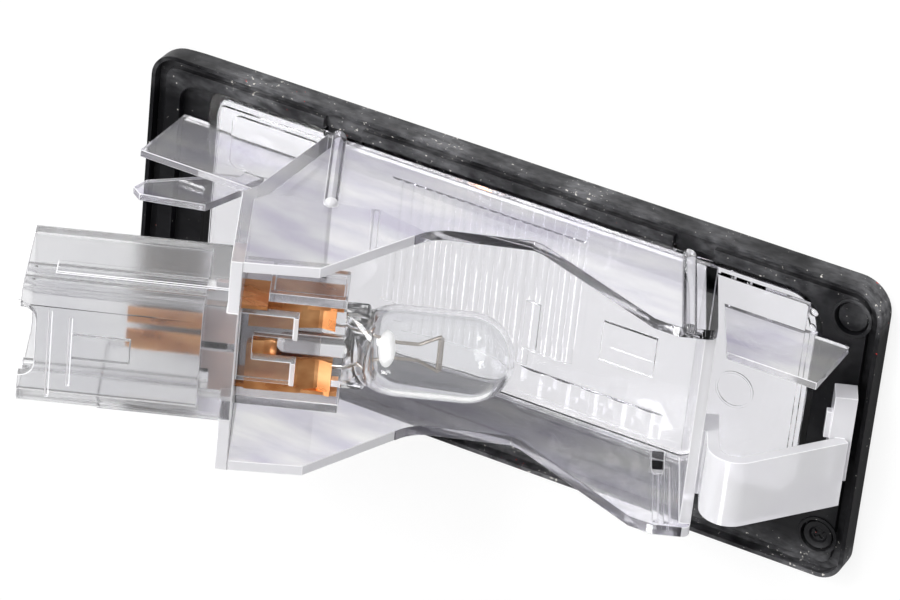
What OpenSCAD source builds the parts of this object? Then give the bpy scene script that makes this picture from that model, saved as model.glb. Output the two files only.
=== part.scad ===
// Number plate lamp: black flange, clear lens, tilted clear lamp housing with
// socket, connector shroud and spring clip, two contacts and a wedge bulb.
// The flat front face lies on Z = 0, the lamp housing rises behind it.

/* [Flange] */
// Length of the flange
flange_l = 88; // [84:0.5:96]
// Width of the flange
flange_w = 36.5; // [35.5:0.5:42]
// Thickness of the flange at its lip
flange_t = 2.8; // [2.6:0.1:3.4]
// Corner radius at the nose end
nose_corner_r = 3; // [2:0.1:4]
// Corner radius at the clip end, upper side
clip_corner_r = 3.8; // [3:0.1:4.2]
// Corner radius at the clip end, lower side
low_corner_r = 2.8; // [2.2:0.1:3.6]
// Width of the raised lip round the back
lip_w = 0.5; // [0.4:0.05:0.7]
// Width of the groove inside the lip
groove_w = 1.15; // [0.8:0.05:1.3]
// Depth of the groove
groove_d = 1.3; // [0.8:0.1:1.5]
// Step from the lip down to the shelf round the window
shelf_step = 0.5; // [0.3:0.1:0.7]
// Length of the rounded front nose
nose_run = 6; // [3:0.5:8]
// Height of the rounded front nose
nose_rise = 1.9; // [1:0.1:2.2]

/* [Window] */
// Width of the flange between its nose and the lens window
window_nose_gap = 7.05; // [6.8:0.05:7.6]
// Width of the flange between the lens window and the clip end
window_clip_gap = 6.5; // [6.3:0.1:7]
// Width of the flange above the lens window
window_upper_gap = 2.95; // [2.8:0.05:3.1]
// Width of the flange below the lens window
window_lower_gap = 7.05; // [6.9:0.05:7.2]
// Corner radius of the window at the nose end
window_r_nose = 1.5; // [1:0.1:2]
// Corner radius of the window at the clip end
window_r_clip = 4.5; // [2:0.1:5]
// Width of the ledge that carries the lens
ledge_w = 1; // [0.6:0.1:1.5]
// Thickness of the ledge that carries the lens
ledge_t = 0.9; // [0.7:0.1:1.1]
// Length of the recess between window and nose
recess_l = 3.55; // [3:0.05:3.8]
// Floor height of that recess
recess_z = 1.2; // [0.9:0.1:1.5]

/* [Buttons] */
// Diameter of the round buttons
button_d = 3.3; // [2.6:0.1:3.6]
// Outer diameter of the ring round a button
button_ring_d = 4.6; // [4.2:0.1:5]
// Distance of the buttons from the clip end
button_inset = 3.45; // [3.3:0.05:4]
// Height of the upper button above the centre line
button_upper_y = 14.1; // [12.5:0.1:14.6]
// Depth of the lower button below the centre line
button_lower_y = 13.4; // [12.5:0.1:14.6]

/* [Lens] */
// Clearance round the lens in its window
lens_gap = 0.1; // [0.05:0.05:0.2]
// Thickness of the lens plate on its ledge
lens_t = 1.5; // [1.2:0.1:1.7]
// Set-back of the lens from the front face
lens_front_gap = 0.15; // [0.05:0.05:0.3]
// Width of the step border round the lens
border_w = 1.35; // [1:0.05:1.6]
// Depth of the step border
border_d = 0.35; // [0.2:0.05:0.5]
// Pitch of the narrow light-spreading flutes
flute_pitch = 1.3; // [1:0.1:2]
// Pitch of the wide flutes along the lower edge
wide_pitch = 3.4; // [3:0.1:4]
// Height of the flutes
flute_h = 0.4; // [0.2:0.05:0.6]
// Height of the valleys between the flutes
flute_valley = 0.08; // [0.05:0.01:0.12]
// Start of the long flutes along the lens
flute_x0 = -13; // [-16:0.5:-10]
// End of the long flutes along the lens
flute_x1 = 9.5; // [6:0.5:12]
// Start of the wide flutes along the lens
wide_x0 = 5.7; // [4:0.1:8]
// End of the wide flutes along the lens
wide_x1 = 21; // [18:0.5:22]
// Thickness of the raised pads above the lens plate
pad_rise = 0.35; // [0.2:0.05:0.5]
// Thickness of the upright locating ribs
rib_t = 0.85; // [0.6:0.05:1.2]
// Height of the locating ribs above the lip
rib_h = 8.7; // [6:0.1:10]
// Height of the locating ribs' centre line
rib_y = 10.55; // [9:0.05:12]
// Height of the hooked prong's centre line
prong_y = 6; // [4:0.1:8]
// Distance of the nose-side rib from the flange's nose
rib_nose_inset = 4; // [3:0.1:5]
// Distance of the clip-side rib from the clip end
rib_clip_inset = 3.1; // [2.9:0.1:5]

/* [Housing] */
// Tilt of the lamp housing from the flange
housing_tilt = 24.6; // [23:0.1:26]
// Offset of the housing's middle plane across the flange
housing_y = 2; // [1.8:0.05:2.2]
// Outer width of the lamp chamber
chamber_w = 25.9; // [24:0.1:26]
// Thickness of the chamber walls
wall_t = 1.2; // [0.9:0.1:1.5]
// Distance from the pivot to the chamber's socket end
chamber_back = 27.95; // [27:0.05:29]
// Distance from the pivot to the chamber's clip end
chamber_front = 22.9; // [21:0.1:24]
// Diameter of the guide posts
post_d = 1.5; // [1.2:0.1:1.8]
// Length of the guide post beside the socket
post_short_top = 16.4; // [14:0.1:18]
// Length of the guide post beside the clip
post_tall_top = 34.6; // [32:0.1:36]

/* [Socket] */
// Height of the bulb axis above the pivot
axis_v = 12.55; // [12:0.05:13.5]
// Half width between the socket's side walls
socket_half = 6; // [5.9:0.1:7]
// Thickness of the socket's side walls
socket_t = 1.1; // [0.8:0.1:1.4]
// Height of the socket's side walls
socket_h = 6; // [5:0.1:7]
// Reach of the socket's side walls past the chamber's end
socket_l = 12.4; // [12:0.1:13]
// Open stretch between the chamber's end and the upper side wall
socket_open = 4.1; // [3.5:0.1:4.5]
// Thickness of the two blocks that guard the bulb's wedge
guard_t = 1.3; // [1:0.1:1.5]
// Reach of the guard blocks past the chamber's end
guard_l = 7.5; // [6:0.1:8]

/* [Connector] */
// Outer width of the connector shroud
shroud_w = 14; // [13.5:0.1:15]
// Outer height of the connector shroud
shroud_h = 15; // [14.5:0.1:15.5]
// Wall thickness of the connector shroud
shroud_t = 1.2; // [1:0.1:1.5]
// Length of the shroud from its mouth to the chamber
shroud_l = 21.55; // [19:0.05:24]
// Thickness of the shroud's base
shroud_base = 2; // [1.5:0.1:3]
// Depth of the finger notch in the mouth
notch_d = 1.7; // [1:0.1:2.5]
// Length of the latch window
latch_l = 6.15; // [5:0.05:7]
// Width of the latch window
latch_w = 3; // [2:0.1:4]

/* [Spring clip] */
// Width of the spring strap
strap_w = 8; // [7:0.1:9]
// Thickness of the spring strap
strap_t = 1.3; // [1:0.1:1.5]
// Length of the strap's sloping arm
strap_arm_l = 11.9; // [11:0.1:12.2]
// Slope of the strap's arm
strap_lean = 29; // [27:1:32]
// Length of the latch bar on the strap's end
bar_l = 10.3; // [9:0.1:11]
// Width of the latch bar
bar_w = 2.4; // [2:0.1:2.6]
// Distance of the latch bar from the housing's origin, along the bulb
bar_u = 36.2; // [35.8:0.1:36.6]
// Height of the latch bar above the bulb axis
bar_v = 17.8; // [17.4:0.1:18.2]

/* [Contacts] */
// Sheet thickness of the contacts
sheet_t = 0.45; // [0.3:0.05:0.6]
// Width of the connector blades
blade_w = 2.2; // [1.8:0.1:2.8]
// Thickness of the connector blades
blade_t = 0.6; // [0.5:0.05:0.8]
// Distance from the shroud's mouth to the blades' tips
blade_inset = 10.8; // [9:0.1:13]
// Distance between the blades
blade_pitch = 3.3; // [2.8:0.1:4]
// Height of the upper contact's web at its root
web_h = 5.3; // [4.6:0.1:5.6]
// Rise of the contact strips from the wedge to their root
strip_rise = 0.45; // [0.3:0.05:0.6]

/* [Bulb] */
// Diameter of the bulb's glass
bulb_d = 9.86; // [9:0.02:10.2]
// Distance from the pivot to the bulb's tip
bulb_tip = 2.7; // [2:0.1:4]
// Length of the bulb from its base to its tip
bulb_l = 26.6; // [25:0.1:27.5]
// Wall thickness of the bulb
glass_t = 0.6; // [0.4:0.05:0.8]
// Width of the wedge base
wedge_w = 9.5; // [9:0.1:9.9]
// Thickness of the wedge base
wedge_t = 2.1; // [1.8:0.05:2.4]
// Diameter of the support wires
wire_d = 0.4; // [0.3:0.05:0.6]
// Length of the filament coil
coil_l = 4.4; // [3:0.1:5]

/* [Hidden] */
$fn = 32;
eps = 0.01;
far = 100;

shelf_z = flange_t - shelf_step;
groove_z = flange_t - groove_d;
window_x0 = -flange_l / 2 + window_nose_gap;
window_x1 = flange_l / 2 - window_clip_gap;
window_y0 = -flange_w / 2 + window_lower_gap;
window_y1 = flange_w / 2 - window_upper_gap;
lens_back = ledge_t + lens_t;
button_x = flange_l / 2 - button_inset;

post_u = [-18.45, 19.9];
chamber_y = chamber_w / 2;
shroud_v = axis_v - 0.15;
shroud_mouth = -chamber_back - shroud_l;
shroud_floor = -chamber_back - 0.45;
base_back = shroud_floor - shroud_base;
socket_low = axis_v - socket_h / 2 - 0.4;
socket_end = -chamber_back + socket_l;
web_y = socket_half - 0.5 - sheet_t;
cross_y0 = 0.55;
cross_y1 = web_y + sheet_t / 2;
floor_t = 0.9;
web_low = socket_low + floor_t + 0.1 - axis_v;
strip_v = wedge_t / 2 + 0.02 + sheet_t / 2;
guard_v = axis_v + strip_v + strip_rise + sheet_t / 2 + 0.13;
bulb_base = bulb_tip - bulb_l;

// Foot of a post, where its axis meets the lens, measured along the flange
function post_foot_x(u) = u * cos(housing_tilt)
    + sin(housing_tilt) * (u * sin(housing_tilt) / cos(housing_tilt));

// A rectangle with its own radius at each end, its corners true arcs
module end_rounded(x0, x1, y0, y1, r0, r1) {
    translate([x0 + r0, y0]) square([x1 - x0 - r0 - r1, y1 - y0]);
    translate([x0, y0 + r0]) square([x1 - x0 - r1, y1 - y0 - 2 * r0]);
    translate([x0 + r0, y0 + r1]) square([x1 - x0 - r0, y1 - y0 - 2 * r1]);
    for (y = [y0 + r0, y1 - r0]) translate([x0 + r0, y]) circle(r = r0);
    for (y = [y0 + r1, y1 - r1]) translate([x1 - r1, y]) circle(r = r1);
}

// Sheet of even height along a flat run of points
module ribbon(points, t) {
    polygon(concat([for (p = points) p + [0, t / 2]],
        [for (i = [len(points) - 1 : -1 : 0]) points[i] - [0, t / 2]]));
}

// Points on an arc, from one angle to another
function arc(centre, r, a0, a1, steps = 6) =
    [for (i = [0 : steps]) centre + r * [cos(a0 + (a1 - a0) * i / steps), sin(a0 + (a1 - a0) * i / steps)]];

// Frame of the tilted housing: X towards the bulb's tip, Z away from the lens
module tilted() {
    translate([0, housing_y, flange_t]) rotate([0, housing_tilt, 0]) children();
}

// Side outline in X and Z, extruded along Y
module along_y(y0, y1) {
    translate([0, y1, 0]) rotate([90, 0, 0]) linear_extrude(y1 - y0) children();
}

// Cross-section in Y and Z, extruded along X
module along_x(x0, x1) {
    translate([x0, 0, 0]) rotate([90, 0, 90]) linear_extrude(x1 - x0) children();
}

// Flange outline drawn in by a given amount: the upper and lower halves have their own clip corner
module flange_outline(inset) {
    x = flange_l / 2 - inset;
    y = flange_w / 2 - inset;
    middle = 2;
    nose_r = nose_corner_r - inset;
    low_r = low_corner_r - inset;
    intersection() {
        end_rounded(-x, x, -y, y, nose_r, clip_corner_r - inset);
        translate([-x, -middle]) square([2 * x, y + middle]);
    }
    translate([-x + nose_r, -y]) square([2 * x - nose_r - low_r, y]);
    translate([-x, -y + nose_r]) square([nose_r + eps, y - nose_r]);
    translate([x - low_r - eps, -y + low_r]) square([low_r + eps, y - low_r]);
    translate([-x + nose_r, -y + nose_r]) circle(r = nose_r);
    translate([x - low_r, -y + low_r]) circle(r = low_r);
}

// Lens window grown or drawn in by a given amount
module window_outline(inset) {
    end_rounded(window_x0 + inset, window_x1 - inset, window_y0 + inset, window_y1 - inset,
        window_r_nose - inset / 2, window_r_clip - inset);
}

// Notches in window edge and lens that clear the feet of the guide posts
module post_notches(depth, top_y) {
    for (u = post_u) translate([post_foot_x(u) - 2.35, window_y1 - depth, 0])
        square([4.7, top_y - window_y1 + depth]);
}

module frame() {
    shelf_inset = lip_w + groove_w;
    color([0.09, 0.09, 0.1]) {
        difference() {
            linear_extrude(flange_t) flange_outline(0);
            // rounded front nose
            along_y(-far, far) difference() {
                translate([-flange_l / 2 - 1, -1]) square([nose_run + 1, nose_rise + 1]);
                polygon(concat([[-flange_l / 2 + nose_run, nose_rise + eps]],
                    [for (a = [0 : 10 : 90])
                        [-flange_l / 2 + nose_run * (1 - sin(a)), nose_rise * (1 - cos(a))]]));
            }
            // shelf inside the lip
            translate([0, 0, shelf_z]) linear_extrude(flange_t) flange_outline(lip_w);
            // groove between lip and shelf
            translate([0, 0, groove_z]) linear_extrude(flange_t) difference() {
                flange_outline(lip_w);
                flange_outline(shelf_inset);
            }
            // lens pocket and the smaller opening in front of it
            translate([0, 0, ledge_t]) linear_extrude(flange_t) window_outline(0);
            translate([0, 0, -1]) linear_extrude(flange_t) window_outline(ledge_w);
            // recess beside the nose end of the lens
            translate([0, 0, recess_z]) linear_extrude(flange_t)
                end_rounded(window_x0 - recess_l, window_x0 + 5, window_y0 + 1, window_y1 - 0.3, 2, 0.5);
            translate([0, 0, groove_z]) linear_extrude(flange_t)
                post_notches(1, flange_w / 2 - lip_w - groove_w / 2);
            for (y = [button_upper_y, -button_lower_y]) translate([button_x, y, groove_z])
                cylinder(d = button_ring_d - 0.8, h = flange_t);
        }
        // domed upper button
        translate([button_x, button_upper_y, groove_z - eps]) {
            cylinder(d = button_d, h = shelf_z - groove_z - 0.2);
            translate([0, 0, shelf_z - groove_z - 0.2]) intersection() {
                translate([0, 0, -button_d + 0.3]) sphere(r = button_d);
                cylinder(d = button_d, h = 1);
            }
        }
        // dished lower button
        translate([button_x, -button_lower_y, groove_z - eps]) difference() {
            cylinder(d = button_d, h = shelf_z - groove_z);
            translate([0, 0, 0.45]) cylinder(d1 = button_d - 1.6, d2 = button_d - 0.7, h = 1);
            // small cross recess in the dish
            for (turn = [45, 135]) rotate(turn) translate([0, 0, 0.5]) cube([1.4, 0.35, 0.5], center = true);
        }
        // raised rings round both buttons
        for (y = [button_upper_y, -button_lower_y]) translate([button_x, y, shelf_z - eps]) difference() {
            cylinder(d = button_ring_d, h = 0.25);
            translate([0, 0, -1]) cylinder(d = button_ring_d - 0.8, h = 2);
        }
    }
}

// One half-round flute across the lens, its foot a little below its neighbours' valleys
module flute(x, y0, y1, pitch) {
    crown = flute_h - flute_valley;
    r = (pitch * pitch / 4 + crown * crown) / (2 * crown);
    translate([x, y0, lens_back + flute_h - r]) rotate([-90, 0, 0]) cylinder(r = r, h = y1 - y0);
}

// Raised pad on the lens plate, rooted in it
module pad(x0, x1, y0, y1, rise) {
    translate([x0, y0, lens_back - 0.4]) cube([x1 - x0, y1 - y0, rise + 0.4]);
}

module lens() {
    rib_top = flange_t + rib_h;
    nose_rib_x = -flange_l / 2 + rib_nose_inset;
    clip_rib_x = flange_l / 2 - rib_clip_inset;
    inner_y0 = window_y0 + border_w;
    inner_y1 = window_y1 - border_w;
    chamber_wall_x = -chamber_back * cos(housing_tilt) + 2.6;
    clip_wall_x = chamber_front * cos(housing_tilt) + 5.3;
    wall_lean = 4.6;
    clip_pad_x = clip_wall_x - 0.8;
    ring_d = 4.4;
    color([0.86, 0.88, 0.92, 0.4]) {
        difference() {
            union() {
                translate([0, 0, ledge_t]) linear_extrude(lens_t) window_outline(lens_gap);
                translate([0, 0, lens_front_gap]) linear_extrude(ledge_t)
                    window_outline(ledge_w + lens_gap);
            }
            translate([0, 0, lens_back - border_d]) linear_extrude(1) difference() {
                window_outline(0);
                window_outline(border_w);
            }
            translate([0, 0, -1]) linear_extrude(flange_t + 1) post_notches(1, flange_w);
        }
        intersection() {
            union() {
                // narrow flutes under the bulb, in two fields of unequal reach
                for (x = [flute_x0 : flute_pitch : flute_x1])
                    flute(x, (x < flute_x0 + 2 || x > 5) ? -3 : -5, inner_y1 - 2.2, flute_pitch);
                // wide flutes along the lower edge
                for (x = [wide_x0 : wide_pitch : wide_x1])
                    flute(x, inner_y0 + 1.3, inner_y0 + 4.5, wide_pitch);
            }
            translate([-far, -far, lens_back - 0.6]) cube([2 * far, 2 * far, far]);
        }
        // bright prism bar, plain framed panel, and the pads at both ends of the lens
        pad(3.9, 5.6, -2.6, 3.2, flute_h + 0.15);
        pad(13, 19.4, -1, 3.8, pad_rise);
        pad(clip_pad_x, clip_pad_x + 10.4, inner_y0 + 1, inner_y1 + 0.2, pad_rise);
        translate([0, 0, lens_back - 0.4]) linear_extrude(pad_rise + 0.4)
            end_rounded(window_x0 + 3.4, chamber_wall_x - 0.3, rib_y - 4, inner_y1 - 0.4, 1, 0.3);
        // bare round ring on the pad beside the clip
        translate([clip_pad_x + 3.6, 1.1, lens_back + pad_rise - eps]) difference() {
            cylinder(d = ring_d, h = 0.12);
            translate([0, 0, -1]) cylinder(d = ring_d - 0.5, h = 2);
        }
        // small nubs at the clip end
        for (y = [13.1, 11.2]) translate([window_x1 - 1.3, y, lens_back - border_d - 0.2]) sphere(d = 1.1);
        // upright locating rib beside the socket
        translate([nose_rib_x, rib_y - rib_t / 2, recess_z + 0.6])
            cube([chamber_wall_x - nose_rib_x, rib_t, rib_top - recess_z - 0.6]);
        // upright locating rib beside the clip, its inner edge leaning with the chamber wall
        along_y(rib_y - rib_t / 2, rib_y + rib_t / 2)
            polygon([[clip_wall_x, lens_back - 0.3], [window_x1 - 0.5, lens_back - 0.3],
                [window_x1 - 0.5, flange_t + 0.1], [clip_rib_x, flange_t + 0.1], [clip_rib_x, rib_top],
                [clip_wall_x + wall_lean, rib_top]]);
        // hooked prong
        along_y(prong_y - rib_t / 2, prong_y + rib_t / 2) translate([nose_rib_x, flange_t])
            polygon([[8.4, -1.2], [8.4, 0.8], [5.2, 2.2], [0.1, 7], [-0.3, 9.2], [1, 10.1], [8, 7.9],
                [11, -1.2]]);
    }
}

// Side wall of the chamber, with the dip that clears the bulb
module chamber_side() {
    polygon(concat(
        [[-18.4, -12], [-26.4, 3.1], [-chamber_back, 4.7], [-chamber_back, 18.6],
        [-chamber_back + 0.7, 19.3],
         [-18.65, 18.9], [-9.2, 10.2]],
        arc([-5.4, 13.5], 4.95, 222, 272),
        [[3.4, 8.9], [4.4, 9.5], [16.3, 22], [18.9, 23.2]],
        arc([chamber_front - 0.9, 22.3], 0.9, 90, 0),
        [[chamber_front, -12]]));
}

// Socket-end wall, upright at the lens and square to the bulb higher up
module chamber_end() {
    t = wall_t + 0.1;
    polygon([[-18.4, -12], [-26.4, 3.1], [-chamber_back, 4.7], [-chamber_back, 19.3],
        [-chamber_back + t, 19.3], [-chamber_back + t, 5.2], [-25, 3.6], [-17, -12]]);
}

// Spring strap: a leg on the chamber's end wall, a round bend and the arm down to the flange
module clip_side() {
    leg_u = chamber_front + strap_t * 0.8;
    bend_r = 2.4;
    centre = [leg_u + bend_r, 24.4];
    leg_v = 18.4;
    root_top = leg_v + 3.4;
    inner_r = bend_r - strap_t / 2;
    outer_r = bend_r + strap_t / 2;
    arm_way = [cos(strap_lean), -sin(strap_lean)];
    arm_up = [sin(strap_lean), cos(strap_lean)];
    polygon(concat([[chamber_front - wall_t / 2, leg_v], [chamber_front - wall_t / 2, root_top],
        [leg_u - strap_t / 2, root_top]],
        arc(centre, outer_r, 180, 90 - strap_lean, 12),
        [centre + strap_arm_l * arm_way + outer_r * arm_up,
            centre + strap_arm_l * arm_way + inner_r * arm_up],
        arc(centre, inner_r, 90 - strap_lean, 180, 12),
        [[leg_u + strap_t / 2, leg_v]]));
}

// Opening of the connector shroud, with its two key grooves
module shroud_bore() {
    w = shroud_w - 2 * shroud_t;
    h = shroud_h - 2 * shroud_t;
    difference() {
        end_rounded(-w / 2, w / 2, -h / 2, h / 2, 1, 1);
        translate([w / 2 - 0.9, 0.4]) square([2, 1]);
        translate([w / 2 - 0.9, 3]) square([2, 0.9]);
        translate([-w / 2 - 1, 1.2]) square([1.8, 1]);
    }
}

// Guard block over one half of the wedge, with a rim at its free end
module guard(y0, y1) {
    rim = 0.5;
    translate([-chamber_back, y0, guard_v]) cube([guard_l, y1 - y0, guard_t]);
    translate([-chamber_back + guard_l - rim, y0, guard_v + guard_t - eps]) cube([rim, y1 - y0, 0.25]);
}

module housing() {
    side_y = chamber_y - wall_t;
    post_y = chamber_y + post_d / 10;
    shroud_low = shroud_v - shroud_h / 2;
    shroud_top = shroud_v + shroud_h / 2;
    strap_y = -4.2;
    color([0.88, 0.9, 0.93, 0.5]) difference() {
        union() {
            tilted() {
                // chamber walls
                for (y = [side_y, -chamber_y]) along_y(y, y + wall_t) chamber_side();
                along_y(-chamber_y, chamber_y) chamber_end();
                translate([chamber_front - wall_t, -chamber_y, -12]) cube([wall_t, chamber_w, 34.3]);
                // strengthening ribs on the lower side wall and one on the upper
                for (u = [18.9, 20.1]) translate([u, -chamber_y - 0.35, 11]) cube([0.6, 0.6, 10.5]);
                translate([-13.8, side_y - 0.35, 4.8]) cube([0.6, 0.6, 8.4]);
                // guide posts with round tops
                for (u = post_u) translate([u, post_y, -11]) {
                    top = (u < 0) ? post_short_top : post_tall_top;
                    cylinder(d = post_d, h = top);
                    translate([0, 0, top]) sphere(d = post_d);
                }
                // socket floor and side walls, the upper one starting clear of the chamber's end
                translate([-chamber_back, -socket_half - socket_t, socket_low])
                    cube([socket_l - 2.5, 2 * (socket_half + socket_t), floor_t]);
                translate([-chamber_back, -socket_half - socket_t, socket_low])
                    cube([socket_l, socket_t, socket_h]);
                translate([-chamber_back + socket_open, socket_half, socket_low])
                    cube([socket_l - socket_open, socket_t, socket_h]);
                // guard blocks over the wedge and the bar between their roots
                guard(2.1, 4.8);
                guard(-3.6, -0.8);
                translate([-chamber_back, -1, guard_v]) cube([2.8, 3.3, guard_t]);
                // connector shroud
                translate([0, 0, shroud_v]) difference() {
                    along_x(shroud_mouth, -chamber_back + wall_t)
                        end_rounded(-shroud_w / 2, shroud_w / 2, -shroud_h / 2, shroud_h / 2, 1.6, 1.6);
                    along_x(shroud_mouth - 1, base_back) shroud_bore();
                }
                // thicker lower side near the root and a rib on the upper side
                translate([shroud_mouth + 8.5, -shroud_w / 2 - 0.6, shroud_low + 1.8])
                    cube([shroud_l - 8.5, 1, shroud_h - 3.6]);
                translate([shroud_mouth + 3.2, shroud_w / 2 - 0.5, shroud_low + 8.2])
                    cube([shroud_l - 3.2, 0.75, 2.3]);
                // spring clip with the latch bar and a small rib on its free end
                along_y(strap_y - strap_w / 2, strap_y + strap_w / 2) clip_side();
                translate([bar_u, strap_y - strap_w / 2 + 2.7, bar_v]) cube([bar_w, bar_l, 2.8]);
                translate([bar_u - 0.6, strap_y + strap_w / 2 - 0.4, bar_v + 1.4]) cube([1, 3.2, 0.9]);
            }
        }
        // everything stops at the lens
        translate([-far, -far, lens_back - far]) cube([2 * far, 2 * far, far]);
        tilted() {
            // finger notch and latch window in the outer wall of the shroud
            translate([shroud_mouth - 1, 0, shroud_v]) linear_extrude(far)
                end_rounded(-4, 1 + notch_d, -3.2, 5.2, 0.4, notch_d * 0.9);
            translate([shroud_mouth + 5.55, -0.9, shroud_v]) cube([latch_l, latch_w, 6.9]);
            // step lines of the sliding core
            translate([shroud_mouth + 3.1, -5.6, shroud_top - 0.25]) cube([0.3, 10.6, 1]);
            translate([shroud_mouth + 5.3, -4, shroud_top - 0.2]) cube([0.25, 8.4, 1]);
            // shallow panel in the outer face of the upper side wall
            translate([-chamber_back + socket_open + 0.5, socket_half + socket_t - 0.3, axis_v - 2.3])
                cube([socket_l - socket_open - 0.9, 1, 4.1]);
            // slots for the blades through the base
            for (side = [1, -1]) contact_slot(side);
            // square window in the lower side wall
            translate([18.7, -chamber_y - 1, 8.9]) cube([1.3, wall_t + 1.5, 3.5]);
        }
    }
}

// Nearer edge of a contact's web on its own side of the bulb
function web_edge(side) = side > 0 ? web_y : -web_y - sheet_t;

// Room in the shroud's base and the chamber wall for one contact
module contact_slot(side) {
    clear = 0.05;
    cross_l = cross_y1 - cross_y0 + 2 * clear;
    translate([base_back - 1, side * blade_pitch / 2 - blade_w / 2 - clear, axis_v - blade_t / 2 - clear])
        cube([3, blade_w + 2 * clear, blade_t + 2 * clear]);
    translate([base_back + 0.8, (side > 0 ? cross_y0 : -cross_y1) - clear, axis_v - blade_t / 2 - clear])
        cube([6, cross_l, blade_t + 2 * clear]);
    translate([base_back + 2.4 - clear, web_edge(side) - clear, axis_v + web_low - clear])
        cube([6, sheet_t + 2 * clear, web_h + 2 * clear]);
}

// One contact: blade, cross piece in the base, side web and two sprung strips on the wedge
module contact(side) {
    strip_w = side > 0 ? 2.8 : 4.25;
    strip_y = side > 0 ? web_y - strip_w + sheet_t : -web_y - sheet_t;
    strip_start = -25.8;
    color([0.78, 0.45, 0.22]) tilted() translate([0, 0, axis_v]) {
        translate([shroud_mouth + blade_inset, side * blade_pitch / 2 - blade_w / 2, -blade_t / 2])
            cube([base_back - shroud_mouth - blade_inset + 3.4, blade_w, blade_t]);
        translate([base_back + 0.9, side > 0 ? cross_y0 : -cross_y1, -blade_t / 2])
            cube([2.4, cross_y1 - cross_y0, blade_t]);
        // web, taller at the root of the upper contact
        web_u = base_back + 2.4;
        translate([web_u, web_edge(side), web_low])
            cube([socket_end - 0.3 - web_u, sheet_t, strip_v + strip_rise - web_low]);
        if (side > 0) translate([web_u, web_edge(side), web_low]) cube([-23.9 - web_u, sheet_t, web_h]);
        // strips above and below the wedge, each bent to a line of contact
        for (flip = [0, 1]) mirror([0, 0, flip]) along_y(strip_y, strip_y + strip_w)
            ribbon([[strip_start, strip_v + strip_rise], [-20.2, strip_v + strip_rise * 0.7],
                [-18.4, strip_v],
                [-18, strip_v], [-16.6, strip_v + strip_rise]], sheet_t);
        // curved tongue between the guard blocks
        if (side < 0) along_y(strip_y + strip_w - 0.4, 0.6)
            ribbon(concat([[strip_start, strip_v + strip_rise]], arc([-23.3, strip_v + 1.2], 1.2, 235, 305)),
                sheet_t);
    }
}

module contact_upper() {
    contact(1);
}

module contact_lower() {
    contact(-1);
}

// Half outline of the glass, turned about the bulb's axis, drawn in by a given amount
module glass_turned(inset) {
    r = bulb_d / 2 - inset;
    tip = bulb_tip - inset;
    neck = -13.4 + inset;
    shoulder = -9.6;
    rotate([0, 90, 0]) rotate_extrude($fn = 64)
        polygon(concat([[0, neck]], [[3 - inset, neck]],
            [for (a = [0 : 15 : 90])
                [3 - inset + (r - 3 + inset) * sin(a), shoulder - (shoulder - neck) * cos(a)]],
            [for (a = [0 : 10 : 90]) [r * cos(a), tip - r + r * sin(a)]]));
}

module bulb_envelope() {
    ridge_d = 3;
    color([0.92, 0.94, 0.96, 0.35]) tilted() translate([0, 0, axis_v]) {
        difference() {
            union() {
                glass_turned(0);
                // flat wedge base with rounded edges
                translate([0, 0, -wedge_t / 2]) linear_extrude(wedge_t)
                    end_rounded(bulb_base, -13, -wedge_w / 2, wedge_w / 2, 0.8, 0.5);
                // pinched neck between wedge and bulb
                hull() {
                    translate([-15.6, -wedge_w / 2 + 0.4, -wedge_t / 2])
                        cube([0.4, wedge_w - 0.8, wedge_t]);
                    translate([-12.4, 0, 0]) rotate([0, 90, 0]) cylinder(r = 4.1, h = 0.6, $fn = 32);
                }
                // sealed filling tube along the middle of the wedge
                translate([bulb_base + 2.3, 0, 0]) sphere(d = ridge_d);
                translate([bulb_base + 2.3, 0, 0]) rotate([0, 90, 0]) cylinder(d = ridge_d, h = 8);
            }
            glass_turned(glass_t);
            for (side = [1, -1]) bulb_wire(side, 0.02);
        }
    }
}

module bulb_bead() {
    color([0.97, 0.97, 0.95]) tilted() translate([-11.1, 0, axis_v]) difference() {
        rotate([90, 0, 0]) rotate_extrude()
            polygon([for (a = [-90 : 15 : 90]) [1.05 * cos(a), 2.25 * sin(a)]]);
        for (side = [1, -1]) translate([11.1, 0, 0]) bulb_wire(side, 0.02);
    }
}

// Route of a support wire: lead in the wedge, pinch, bead and hook for the coil
function wire_route(side) = [for (p = [[bulb_base + 0.5, 2.9], [-15.2, 2.6], [-12.6, 1.5], [-10, 1], [-7.6, 1],
    [-5.3, coil_l / 2]]) [p[0], side * p[1]]];

// Direction of a flat route at one of its points
function route_way(route, i) =
    let (d = route[min(i + 1, len(route) - 1)] - route[max(i - 1, 0)]) d / norm(d);

// Support wire through the pinch and the bead, grown for the room it needs in the glass
module bulb_wire(side, grow) {
    r = wire_d / 2 + grow;
    route = wire_route(side);
    sides = 8;
    last = len(route) - 1;
    points = [for (i = [0 : last], j = [0 : sides - 1])
        let (way = route_way(route, i), a = 360 * j / sides)
        [route[i][0] - way[1] * r * cos(a), route[i][1] + way[0] * r * cos(a), r * sin(a)]];
    faces = concat([[for (j = [0 : sides - 1]) j]],
        [for (i = [0 : last - 1], j = [0 : sides - 1]) [i * sides + j, (i + 1) * sides + j,
            (i + 1) * sides + (j + 1) % sides, i * sides + (j + 1) % sides]],
        [[for (j = [0 : sides - 1]) last * sides + sides - 1 - j]]);
    polyhedron(points, faces);
}

module bulb_wire_upper() {
    color([0.55, 0.5, 0.46]) tilted() translate([0, 0, axis_v]) bulb_wire(1, 0);
}

module bulb_wire_lower() {
    color([0.55, 0.5, 0.46]) tilted() translate([0, 0, axis_v]) bulb_wire(-1, 0);
}

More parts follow.
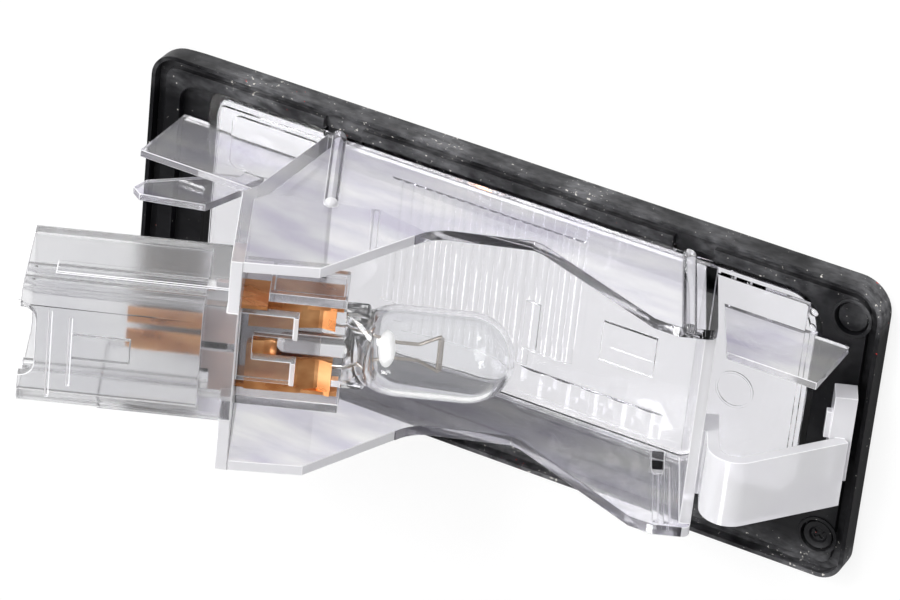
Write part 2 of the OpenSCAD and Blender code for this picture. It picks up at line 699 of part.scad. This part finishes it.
// Tungsten coil between the tips of the two wires
module bulb_filament() {
    turns = 16;
    per_turn = 10;
    coil_r = 0.28;
    wire_r = 0.07;
    span = coil_l - wire_d - 0.1;
    sides = 6;
    n = turns * per_turn;
    function centre(i) = [-5.3 + coil_r * cos(i * 360 / per_turn), -span / 2 + span * i / n,
        coil_r * sin(i * 360 / per_turn)];
    function out(i) = [cos(i * 360 / per_turn), 0, sin(i * 360 / per_turn)];
    points = [for (i = [0 : n], j = [0 : sides - 1])
        centre(i) + wire_r * (cos(j * 360 / sides) * out(i) + sin(j * 360 / sides) * [0, 1, 0])];
    faces = concat([[for (j = [0 : sides - 1]) j]],
        [for (i = [0 : n - 1], j = [0 : sides - 1]) [i * sides + j, (i + 1) * sides + j,
            (i + 1) * sides + (j + 1) % sides, i * sides + (j + 1) % sides]],
        [[for (j = [0 : sides - 1]) n * sides + sides - 1 - j]]);
    color([0.35, 0.34, 0.33]) tilted() translate([0, 0, axis_v]) polyhedron(points, faces);
}

frame();
lens();
housing();
contact_upper();
contact_lower();
bulb_envelope();
bulb_bead();
bulb_wire_upper();
bulb_wire_lower();
bulb_filament();
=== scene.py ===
import math

import bmesh
import bpy
from mathutils import Matrix, Vector


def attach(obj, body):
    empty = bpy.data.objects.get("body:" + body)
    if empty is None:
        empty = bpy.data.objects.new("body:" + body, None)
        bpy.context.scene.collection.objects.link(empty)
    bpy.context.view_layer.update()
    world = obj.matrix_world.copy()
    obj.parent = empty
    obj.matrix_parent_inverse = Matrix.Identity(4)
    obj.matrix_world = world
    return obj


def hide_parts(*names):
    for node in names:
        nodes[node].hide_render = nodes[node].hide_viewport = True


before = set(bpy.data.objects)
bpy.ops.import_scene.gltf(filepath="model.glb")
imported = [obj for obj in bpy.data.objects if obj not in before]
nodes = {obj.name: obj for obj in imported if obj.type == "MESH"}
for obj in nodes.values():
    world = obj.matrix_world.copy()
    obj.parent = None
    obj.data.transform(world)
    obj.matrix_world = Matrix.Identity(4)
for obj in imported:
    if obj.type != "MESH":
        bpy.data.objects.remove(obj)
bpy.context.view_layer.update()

scene = bpy.context.scene
MM = 0.001


# Viewpoint: a long lens from behind and above the lamp, rolled a little, as in the photograph.
# The lamp lies on its flat front, so the picture looks down into its open back.
camera_place = Vector((175.81, 271.01, 409.35)) * MM
camera_right = Vector((0.88542, 0.09209, -0.45558)).normalized()
camera_ahead = Vector((-0.34734, -0.52022, -0.78021)).normalized()
camera_up = camera_right.cross(camera_ahead)
film_width = 36.0
focal_length = 190.84
view_depth = 10.0

camera_data = bpy.data.cameras.new("photo_view")
camera_data.sensor_fit = "HORIZONTAL"
camera_data.sensor_width = film_width
camera_data.lens = focal_length
camera_data.clip_end = view_depth
camera = bpy.data.objects.new("photo_view", camera_data)
scene.collection.objects.link(camera)
turn = Matrix((camera_right, camera_up, -camera_ahead)).transposed()
camera.matrix_world = Matrix.Translation(camera_place) @ turn.to_4x4()
scene.camera = camera

# Light crosses many thin clear walls here, so paths may be long.
scene.cycles.max_bounces = 28
scene.cycles.transmission_bounces = 24
scene.cycles.glossy_bounces = 12
scene.cycles.transparent_max_bounces = 16


# Table and light: a white table under soft lamps, in a room that is dimmer towards -Y.
# Camera, clear plastic and gloss each see the table with a glow of their own, so that it looks
# pale in all of them and still keeps the lamp's shadow.
table_size = 6.0
table_colour = (0.9, 0.9, 0.9, 1)
table_roughness = 0.6
glow_for_camera = 0.82
glow_for_plastic = 0.8
glow_for_gloss = 0.4
room_dim, room_bright = 0.3, 0.85
dim_from, bright_from = -0.6, 0.8
lamp_aim = Vector((0, 0, 0.01))


def new_material(name):
    """An empty node material with its Principled shader joined to its output."""
    material = bpy.data.materials.new(name)
    material.use_nodes = True
    tree = material.node_tree
    tree.nodes.clear()
    output = tree.nodes.new("ShaderNodeOutputMaterial")
    shader = tree.nodes.new("ShaderNodeBsdfPrincipled")
    tree.links.new(shader.outputs[0], output.inputs["Surface"])
    return material, tree, shader


def maths(tree, operation, *values):
    """A Math node on sockets or numbers."""
    node = tree.nodes.new("ShaderNodeMath")
    node.operation = operation
    for socket, value in zip(node.inputs, values):
        if isinstance(value, (int, float)):
            socket.default_value = value
        else:
            tree.links.new(value, socket)
    return node.outputs[0]


table_material, tree, shader = new_material("white_table")
shader.inputs["Base Color"].default_value = table_colour
shader.inputs["Roughness"].default_value = table_roughness
glow = tree.nodes.new("ShaderNodeEmission")
glow.inputs["Strength"].default_value = 1.0
rays = tree.nodes.new("ShaderNodeLightPath")
glow_share = maths(tree, "MULTIPLY", rays.outputs["Is Camera Ray"], glow_for_camera)
for ray, amount in (("Is Transmission Ray", glow_for_plastic),
                    ("Is Glossy Ray", glow_for_gloss)):
    seen_by_ray = maths(tree, "MULTIPLY", rays.outputs[ray], amount)
    glow_share = maths(tree, "MAXIMUM", glow_share, seen_by_ray)
lit_table = tree.nodes.new("ShaderNodeMixShader")
tree.links.new(glow_share, lit_table.inputs[0])
tree.links.new(shader.outputs[0], lit_table.inputs[1])
tree.links.new(glow.outputs[0], lit_table.inputs[2])
tree.links.new(lit_table.outputs[0], tree.nodes["Material Output"].inputs["Surface"])

half = table_size / 2
table_corners = [(-half, -half, 0), (half, -half, 0), (half, half, 0), (-half, half, 0)]
table_mesh = bpy.data.meshes.new("table")
table_mesh.from_pydata(table_corners, [], [(0, 1, 2, 3)])
table_mesh.materials.append(table_material)
table = bpy.data.objects.new("table", table_mesh)
scene.collection.objects.link(table)

world = bpy.data.worlds.new("studio")
scene.world = world
world.use_nodes = True
room = world.node_tree
sky = room.nodes["Background"]
sky.inputs["Strength"].default_value = 1.0
direction = room.nodes.new("ShaderNodeTexCoord")
axes = room.nodes.new("ShaderNodeSeparateXYZ")
fade = room.nodes.new("ShaderNodeMapRange")
for socket, value in (("From Min", dim_from), ("From Max", bright_from),
                      ("To Min", room_dim), ("To Max", room_bright)):
    fade.inputs[socket].default_value = value
room.links.new(direction.outputs["Generated"], axes.inputs[0])
room.links.new(axes.outputs["Y"], fade.inputs["Value"])
room.links.new(fade.outputs[0], sky.inputs["Color"])


def soft_lamp(name, place, size, watts):
    """A square area light turned to the lamp on the table."""
    light = bpy.data.lights.new(name, "AREA")
    light.size = size
    light.energy = watts
    lamp = bpy.data.objects.new(name, light)
    lamp.location = place
    lamp.rotation_euler = (lamp_aim - Vector(place)).to_track_quat("-Z", "Y").to_euler()
    scene.collection.objects.link(lamp)


soft_lamp("key", place=(-0.5, 0.75, 0.9), size=0.4, watts=9)
soft_lamp("fill", place=(-0.2, 0.35, 1.3), size=0.8, watts=7)
soft_lamp("spark", place=(0.0, -0.62, 1.03), size=0.2, watts=2.2)


# Flange: one black moulding with its lip, groove, lens window and two round buttons.
# Satin plastic straight from the tool, with a grey film, pale dust and a few red and pale specks
# that have settled mostly on its two long edges; there the grey film is partly painted sheen.
merge_reach = 0.002 * MM
flat_within = math.radians(0.6)
sharp_from = 25
flange_ease = 0.06

clean_black = (0.003, 0.003, 0.004)
# Grey of the film: partly dust, partly a painted sheen on the long edges.
dust_and_sheen_black = (0.14, 0.14, 0.147)
clean_roughness, filmed_roughness, end_roughness = 0.353, 0.647, 0.75
black_gloss = 0.15
pale_lint = (0.6, 0.58, 0.54)
red_lint = (0.5, 0.04, 0.03)

# Where the film with its painted sheen and matt plastic begin and where they are full: in Y for
# the upper edge, which has the ribs beside it, and for the lower edge, and in X for the end by the
# clip.
upper_edge = (12.5 * MM, 16.5 * MM)
lower_edge = (-13.5 * MM, -16.5 * MM)
matt_end = (39.5 * MM, 42.5 * MM)
least_film_and_sheen = 0.06
film_and_sheen_under_grain, film_and_sheen_in_grain = 0.35, 0.9
specks_from_film_and_sheen = 0.14
speck_edge = (0.745, 0.8)


def merged_copy(node_name, piece_name, finishes, angle=sharp_from):
    """A copy of a CAD node with its points merged, flat faces joined and sharp edges marked."""
    mesh = nodes[node_name].data.copy()
    mesh.name = piece_name
    mesh.materials.clear()
    for finish in finishes:
        mesh.materials.append(finish)
    if mesh.has_custom_normals:
        mesh.attributes.remove(mesh.attributes["custom_normal"])
    work = bmesh.new()
    work.from_mesh(mesh)
    bmesh.ops.remove_doubles(work, verts=work.verts, dist=merge_reach)
    bmesh.ops.dissolve_limit(work, angle_limit=flat_within, verts=work.verts, edges=work.edges)
    work.to_mesh(mesh)
    work.free()
    mesh.shade_smooth()
    mesh.set_sharp_from_angle(angle=math.radians(angle))
    piece = bpy.data.objects.new(piece_name, mesh)
    scene.collection.objects.link(piece)
    return piece


def ease_edges(piece, width, finish=-1, above=None):
    """Round a piece's sharp edges by a width in millimetres.

    The roundings can have a finish of their own, and above keeps them to what lies over a height.
    """
    bevel = piece.modifiers.new("ease", "BEVEL")
    bevel.width = width * MM
    bevel.segments = 2
    bevel.limit_method = "ANGLE"
    bevel.angle_limit = math.radians(sharp_from)
    bevel.material = finish
    if above is not None:
        group = piece.vertex_groups.new(name="eased")
        high = [point.index for point in piece.data.vertices if point.co.z > above * MM]
        group.add(high, 1.0, "REPLACE")
        bevel.limit_method = "VGROUP"
        bevel.vertex_group = group.name
    bevel.use_clamp_overlap = False
    bevel.miter_outer = "MITER_ARC"
    bevel.harden_normals = True
    shown = piece.evaluated_get(bpy.context.evaluated_depsgraph_get())
    eased = bpy.data.meshes.new_from_object(shown)
    piece.modifiers.clear()
    piece.data = eased


def stand_for(piece, node_name):
    """The piece rides on the lamp's body and is shown for the CAD node."""
    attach(piece, "root")
    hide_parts(node_name)


def mottle_group():
    """Noise on a piece's own coordinates, cut so that Low becomes 0 and High becomes 1."""
    group = bpy.data.node_groups.new("mottle", "ShaderNodeTree")
    for name, kind in (("Scale", "NodeSocketFloat"), ("Detail", "NodeSocketFloat"),
                       ("Stretch", "NodeSocketVector"), ("Low", "NodeSocketFloat"),
                       ("High", "NodeSocketFloat")):
        group.interface.new_socket(name=name, in_out="INPUT", socket_type=kind)
    group.interface.new_socket(name="Amount", in_out="OUTPUT", socket_type="NodeSocketFloat")
    given = group.nodes.new("NodeGroupInput").outputs
    place = group.nodes.new("ShaderNodeTexCoord")
    mapping = group.nodes.new("ShaderNodeMapping")
    noise = group.nodes.new("ShaderNodeTexNoise")
    cut = group.nodes.new("ShaderNodeMapRange")
    result = group.nodes.new("NodeGroupOutput")
    for source, target in ((place.outputs["Object"], mapping.inputs["Vector"]),
                           (given["Stretch"], mapping.inputs["Scale"]),
                           (mapping.outputs["Vector"], noise.inputs["Vector"]),
                           (given["Scale"], noise.inputs["Scale"]),
                           (given["Detail"], noise.inputs["Detail"]),
                           (noise.outputs["Fac"], cut.inputs["Value"]),
                           (given["Low"], cut.inputs["From Min"]),
                           (given["High"], cut.inputs["From Max"]),
                           (cut.outputs["Result"], result.inputs["Amount"])):
        group.links.new(source, target)
    return group


mottle_pattern = mottle_group()


def mottle(tree, scale, detail, low=0.0, high=1.0, stretch=(1, 1, 1)):
    """The mottle pattern in a material, with its scale in waves per metre."""
    node = tree.nodes.new("ShaderNodeGroup")
    node.node_tree = mottle_pattern
    for name, value in (("Scale", scale), ("Detail", detail), ("Stretch", stretch),
                        ("Low", low), ("High", high)):
        node.inputs[name].default_value = value
    return node.outputs["Amount"]


def ramp(tree, value, low, high):
    """A value stretched so that low becomes 0 and high becomes 1."""
    node = tree.nodes.new("ShaderNodeMapRange")
    node.inputs["From Min"].default_value = low
    node.inputs["From Max"].default_value = high
    tree.links.new(value, node.inputs["Value"])
    return node.outputs["Result"]


def between(tree, mask, first, second):
    """A number that goes from first to second with a mask."""
    return maths(tree, "MULTIPLY_ADD", mask, second - first, first)


def mix_colour(tree, mask, first, second):
    """A colour that goes from first to second with a mask."""
    node = tree.nodes.new("ShaderNodeMix")
    node.data_type = "RGBA"
    tree.links.new(mask, node.inputs["Factor"])
    colours = [socket for socket in node.inputs if socket.type == "RGBA"]
    for socket, value in zip(colours, (first, second)):
        if isinstance(value, tuple):
            socket.default_value = (*value, 1)
        else:
            tree.links.new(value, socket)
    return next(socket for socket in node.outputs if socket.type == "RGBA")


black_plastic, tree, shader = new_material("black_plastic")
spot = tree.nodes.new("ShaderNodeSeparateXYZ")
tree.links.new(tree.nodes.new("ShaderNodeTexCoord").outputs["Object"], spot.inputs[0])
on_edges = maths(tree, "MAXIMUM", ramp(tree, spot.outputs["Y"], *upper_edge),
                 ramp(tree, spot.outputs["Y"], *lower_edge))
patches = maths(tree, "MULTIPLY", mottle(tree, scale=130, detail=4, low=0.3, high=0.65),
                maths(tree, "MAXIMUM", on_edges, least_film_and_sheen))
grain = mottle(tree, scale=1500, detail=3, low=0.3, high=0.7, stretch=(0.5, 1, 1))
film_and_sheen = maths(tree, "MULTIPLY", patches,
             maths(tree, "MULTIPLY_ADD", grain, film_and_sheen_in_grain, film_and_sheen_under_grain))
specks = maths(tree, "ADD", mottle(tree, scale=2300, detail=2),
               maths(tree, "MULTIPLY", film_and_sheen, specks_from_film_and_sheen))
dust = ramp(tree, specks, *speck_edge)
is_red = mottle(tree, scale=320, detail=2, low=0.64, high=0.66)
# The film's grey is partly dust and partly painted sheen on the two long edges.
black = mix_colour(tree, film_and_sheen, clean_black, dust_and_sheen_black)
lint = mix_colour(tree, is_red, pale_lint, red_lint)
satin = between(tree, film_and_sheen, clean_roughness, filmed_roughness)
matt = maths(tree, "MULTIPLY", ramp(tree, spot.outputs["X"], *matt_end), end_roughness)
tree.links.new(mix_colour(tree, dust, black, lint), shader.inputs["Base Color"])
tree.links.new(maths(tree, "MAXIMUM", satin, matt), shader.inputs["Roughness"])
shader.inputs["Specular IOR Level"].default_value = black_gloss

flange = merged_copy("frame", "flange", [black_plastic])
ease_edges(flange, flange_ease)
stand_for(flange, "frame")


# Lens: a clear moulded plate that lies on the ledge of the flange's window, with flutes, a step
# border, two upright locating ribs and a hooked prong. The plate is polished, while ribs and prong
# are a little hazy, and their rounded edges are a pale, mostly opaque plastic that paints a
# highlight.
clear_tint = (0.9, 0.895, 0.925)
clear_roughness = 0.02
plastic_ior = 1.49
clear_ease = 0.07
POLISHED_PLATE, RIB_EDGE_HIGHLIGHT, HAZY_RIB = range(3)

# Over this height, in millimetres, stand only the ribs and the prong.
plate_top = 3.2

clear_plastic, tree, shader = new_material("clear_plastic")
shader.inputs["Base Color"].default_value = (*clear_tint, 1)
shader.inputs["Roughness"].default_value = clear_roughness
shader.inputs["IOR"].default_value = plastic_ior
shader.inputs["Transmission Weight"].default_value = 1.0


def moulded_plastic(name, tints, roughness, transmission, scale=110, stretch=(1, 1, 1)):
    """Clear plastic with a share of haze and a tint that drifts between two."""
    material, tree, shader = new_material(name)
    drift = mottle(tree, scale, detail=4, low=0.35, high=0.65, stretch=stretch)
    tree.links.new(mix_colour(tree, drift, *tints), shader.inputs["Base Color"])
    shader.inputs["Roughness"].default_value = roughness
    shader.inputs["IOR"].default_value = plastic_ior
    shader.inputs["Transmission Weight"].default_value = transmission
    return material


hazy_plastic = moulded_plastic("hazy_plastic", ((0.7, 0.68, 0.79), (1.0, 1.0, 0.99)),
                               roughness=0.03, transmission=0.84,
                               scale=190, stretch=(0.45, 1, 1.7))
# Pale, mostly opaque plastic on rounded edges: a painted highlight along them.
edge_highlight_plastic = moulded_plastic("edge_highlight_plastic", ((0.97, 0.96, 1.0), (0.99, 0.99, 1.0)),
                               roughness=0.2, transmission=0.25)

lens = merged_copy("lens", "clear_lens", [clear_plastic, edge_highlight_plastic, hazy_plastic])
ease_edges(lens, clear_ease, finish=RIB_EDGE_HIGHLIGHT, above=plate_top)
for face in lens.data.polygons:
    if face.material_index == POLISHED_PLATE and face.center.z > plate_top * MM:
        face.material_index = HAZY_RIB
stand_for(lens, "lens")


# Housing: one clear moulding with chamber walls, guide posts, bulb socket, connector shroud and
# spring clip, seated tilted on the lens. Its walls are hazy or polished, the shroud and socket
# come frosted from the tool, and the clip and the shroud's root are milky. The rims that face up,
# outside the polished chamber, take the milky plastic as a painted highlight.
housing_tilt = math.radians(24.6)
housing_pivot = Vector((0, 2.0, 2.8))
HAZY, FROSTED, MILKY_AND_RIM_HIGHLIGHT, POLISHED, EDGE_HIGHLIGHT = range(5)

# Where each part of the housing lies, in millimetres along, across and above it.
shroud_to = -27.7
root_from, root_to, root_foot = -30.5, -25.5, 4
end_wall_to = -26
socket_to, socket_side = -13, 7.2
socket_foot, socket_top = 8.6, 16
chamber_from, chamber_to = -12, 21.5
upper_wall = 8
clip_from = 23.2
rim_lift = 0.25

frosted_plastic = moulded_plastic("frosted_plastic", ((0.8, 0.8, 0.82), (0.85, 0.85, 0.86)),
                                  roughness=0.14, transmission=0.96)
# Milky plastic for the clip and the root, and as a painted highlight on the upward rims.
milky_and_rim_highlight_plastic = moulded_plastic("milky_and_rim_highlight_plastic", ((0.93, 0.92, 0.96), (0.97, 0.97, 0.99)),
                                roughness=0.14, transmission=0.42)


def in_housing(point):
    """A point of the lamp, in millimetres along, across and above the tilted housing."""
    x, y, z = (point / MM) - housing_pivot
    along = x * math.cos(housing_tilt) - z * math.sin(housing_tilt)
    above = x * math.sin(housing_tilt) + z * math.cos(housing_tilt)
    return Vector((along, y, above))


def housing_finish(face):
    """The finish of a face, by its place in the housing and by whether it is on a rim."""
    along, across, above = in_housing(face.center)
    lift = face.normal.x * math.sin(housing_tilt) + face.normal.z * math.cos(housing_tilt)
    on_rim = lift > rim_lift
    in_root = root_from < along < root_to and above > root_foot
    in_socket = (along < socket_to and abs(across) < socket_side
                 and socket_foot < above < socket_top)
    if along > clip_from or in_root:
        return MILKY_AND_RIM_HIGHLIGHT
    if along < shroud_to or in_socket:
        return FROSTED
    if along > chamber_from and (across > upper_wall or (on_rim and along < chamber_to)):
        return POLISHED
    # Upward rims elsewhere are made milky: a painted highlight on them.
    if on_rim:
        return MILKY_AND_RIM_HIGHLIGHT
    return FROSTED if along < end_wall_to else HAZY


housing = merged_copy("housing", "clear_housing", [hazy_plastic, frosted_plastic, milky_and_rim_highlight_plastic,
                                                   clear_plastic, edge_highlight_plastic])
# Rounded edges take the pale edge plastic, a painted highlight, except on polished parts.
ease_edges(housing, clear_ease, finish=EDGE_HIGHLIGHT)
for face in housing.data.polygons:
    finish = housing_finish(face)
    if face.material_index != EDGE_HIGHLIGHT or finish == POLISHED:
        face.material_index = finish
stand_for(housing, "housing")


# Contacts: two copper stampings held in slots of the socket, each with a blade in the shroud and
# sprung jaws round the bulb's wedge. Bare metal, streaked along it from dark to bright copper:
# partly drawing marks, partly painted shade and highlight.
dark_copper_marks_and_shade = (0.55, 0.17, 0.045)
bright_copper_marks_and_highlight = (0.98, 0.54, 0.25)
dull_roughness, bright_roughness = 0.217, 0.435


def refinish(node_name, finish):
    """A CAD node keeps its mesh and is shown in this finish."""
    slots = nodes[node_name].data.materials
    slots.clear()
    slots.append(finish)


copper, tree, shader = new_material("bare_copper")
marks_and_painted_shading = mottle(tree, scale=330, detail=3, low=0.3, high=0.7, stretch=(0.4, 1, 1))
# Streaks from dark to bright copper: partly drawing marks, partly painted shade and highlight.
tree.links.new(mix_colour(tree, marks_and_painted_shading, dark_copper_marks_and_shade, bright_copper_marks_and_highlight), shader.inputs["Base Color"])
tree.links.new(between(tree, marks_and_painted_shading, dull_roughness, bright_roughness),
               shader.inputs["Roughness"])
shader.inputs["Metallic"].default_value = 1.0
for node_name in ("contact_upper", "contact_lower"):
    refinish(node_name, copper)


# Bulb: a clear glass tube pinched flat to a wedge that rests between the contacts, with a white
# glass bead, two bare support wires held in the pinch, and a tungsten coil between them.
glass_tint = (0.98, 0.985, 0.99)
glass_ior = 1.5
glass_transmission = 0.97
glass_sharp_from = 35
bead_tints = ((0.94, 0.94, 0.93), (0.98, 0.98, 0.97))
bead_roughness = 0.4
# The bead's faint glow is painted light, not a lamp.
painted_bead_light = 0.3
wire_tints = ((0.35, 0.3, 0.26), (0.5, 0.46, 0.42))
wire_roughness = 0.4

bulb_glass, tree, shader = new_material("bulb_glass")
shader.inputs["Base Color"].default_value = (*glass_tint, 1)
shader.inputs["Roughness"].default_value = 0.0
shader.inputs["IOR"].default_value = glass_ior
shader.inputs["Transmission Weight"].default_value = glass_transmission

bulb = merged_copy("bulb_envelope", "bulb_glass", [bulb_glass], angle=glass_sharp_from)
stand_for(bulb, "bulb_envelope")

white_bead_with_painted_glow, tree, shader = new_material("white_bead_with_painted_glow")
cloud = mottle(tree, scale=700, detail=3)
tree.links.new(mix_colour(tree, cloud, *bead_tints), shader.inputs["Base Color"])
shader.inputs["Roughness"].default_value = bead_roughness
# A faint white glow on the bead: painted light that brightens it inside the glass.
shader.inputs["Emission Color"].default_value = (1, 1, 1, 1)
shader.inputs["Emission Strength"].default_value = painted_bead_light
refinish("bulb_bead", white_bead_with_painted_glow)

lead_wire, tree, shader = new_material("lead_wire")
tarnish = mottle(tree, scale=900, detail=3)
tree.links.new(mix_colour(tree, tarnish, *wire_tints), shader.inputs["Base Color"])
shader.inputs["Metallic"].default_value = 1.0
shader.inputs["Roughness"].default_value = wire_roughness
for node_name in ("bulb_wire_upper", "bulb_wire_lower", "bulb_filament"):
    refinish(node_name, lead_wire)


# Picture: colours as written.
scene.view_settings.view_transform = "Standard"
